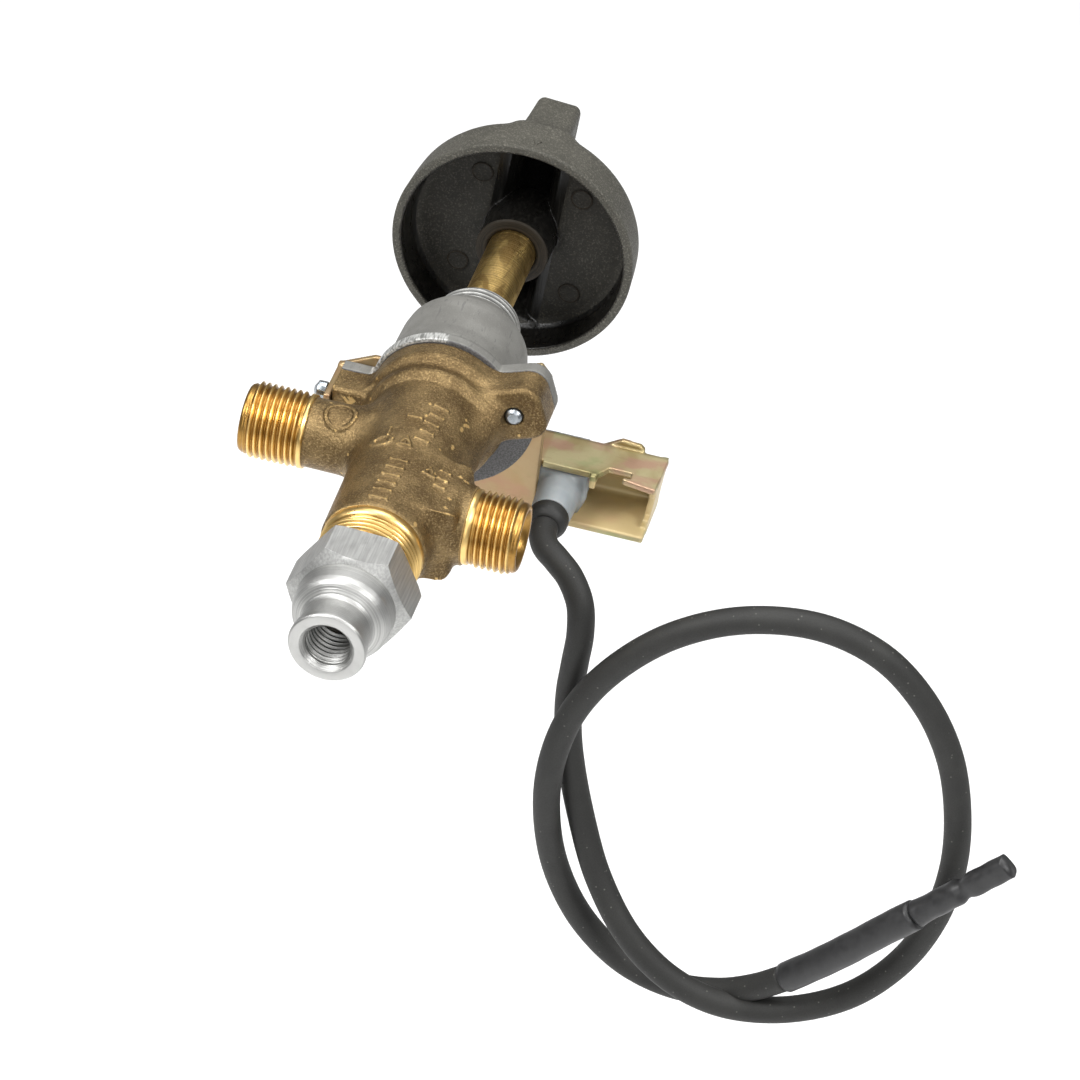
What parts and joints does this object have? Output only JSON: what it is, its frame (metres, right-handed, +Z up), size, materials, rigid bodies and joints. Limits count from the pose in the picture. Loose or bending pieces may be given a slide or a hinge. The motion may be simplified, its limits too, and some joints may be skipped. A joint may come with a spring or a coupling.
{
  "type": "gas valve",
  "caption": "Push-and-turn gas tap with threaded inlet and outlet, thermocouple socket, panel thread, knob and piezo igniter with a hanging lead.",
  "frame": {"origin": "centre of the bonnet's panel shoulder, the face that the panel seats on", "axes": "+Y along the stem towards the knob, +X towards the inlet port, +Z up towards the marked side of the body"},
  "size_m": [0.1313, 0.1347, 0.1122],
  "materials": {
    "forged_brass": "dull forged brass, darkened",
    "turned_brass": "bright turned brass",
    "cast_aluminium": "matt die-cast",
    "turned_aluminium": "bright turned",
    "zinc_steel": "zinc plated",
    "spring_steel": "drawn wire",
    "yellow_zinc_sheet": "yellow passivated zinc, slightly iridescent",
    "knob_plastic": "spark-textured, matt",
    "grey_plastic": "satin",
    "black_rubber": "matt",
    "lead_rubber": "matt silicone",
    "sleeve_plastic": "satin heat-shrink",
    "gasket": "matt",
    "copper": "bright copper",
    "ceramic": "fired ceramic"
  },
  "bodies": {
    "housing": {"valve_body": "forged_brass", "bonnet": "cast_aluminium", "bonnet_gasket": "gasket", "bonnet_screw_right": "zinc_steel", "bonnet_screw_left": "zinc_steel", "stem_o_ring": "black_rubber", "return_spring": "spring_steel", "spring_washer": "zinc_steel", "safety_spring": "spring_steel", "magnet_housing": "turned_brass", "magnet_core": "zinc_steel", "magnet_coil": "copper", "thermo_contact": "turned_brass", "adapter_nut": "turned_aluminium", "nut_washer": "copper", "bracket": "yellow_zinc_sheet", "bracket_pin": "zinc_steel", "igniter_housing": "grey_plastic", "hammer_spring": "spring_steel", "piezo_element": "ceramic", "lead_boot": "black_rubber", "ignition_lead": "lead_rubber", "heat_shrink_sleeve": "sleeve_plastic", "terminal": "sleeve_plastic"},
    "push_carriage": {"push_arm": "zinc_steel"},
    "spindle": {"stem": "turned_brass", "stem_circlip": "spring_steel", "knob": "knob_plastic", "knob_clip": "spring_steel"},
    "plug": {"taper_plug": "turned_brass"},
    "safety_lift": {"push_rod": "zinc_steel", "safety_seal": "black_rubber", "safety_disc": "turned_brass", "armature": "zinc_steel"},
    "striker": {"igniter_plunger": "zinc_steel"}
  },
  "joints": [
    {"name": "knob_push", "type": "slide", "parent": "housing", "child": "push_carriage", "axis": [0, -1, 0], "range_m": [0, 0.0025], "stiffness_N_per_m": 900, "springref_m": -0.004, "deforming": ["return_spring"]},
    {"name": "knob_turn", "type": "hinge", "parent": "push_carriage", "child": "spindle", "pos_m": [0, 0, 0], "axis": [0, 1, 0], "range_deg": [0, 180]},
    {"name": "plug_turn", "type": "hinge", "parent": "housing", "child": "plug", "pos_m": [0, -0.03, 0], "axis": [0, 1, 0], "range_deg": [0, 180]},
    {"name": "safety_push", "type": "slide", "parent": "housing", "child": "safety_lift", "axis": [0, -1, 0], "range_m": [0, 0.0025], "deforming": ["safety_spring"]},
    {"name": "striker_push", "type": "slide", "parent": "housing", "child": "striker", "axis": [0, -1, 0], "range_m": [0, 0.0025], "deforming": ["hammer_spring"]}
  ],
  "couplings": [
    {"joint": "plug_turn", "follows": "knob_turn", "ratio": 1},
    {"joint": "safety_push", "follows": "knob_push", "ratio": 1},
    {"joint": "striker_push", "follows": "knob_push", "ratio": 1}
  ]
}
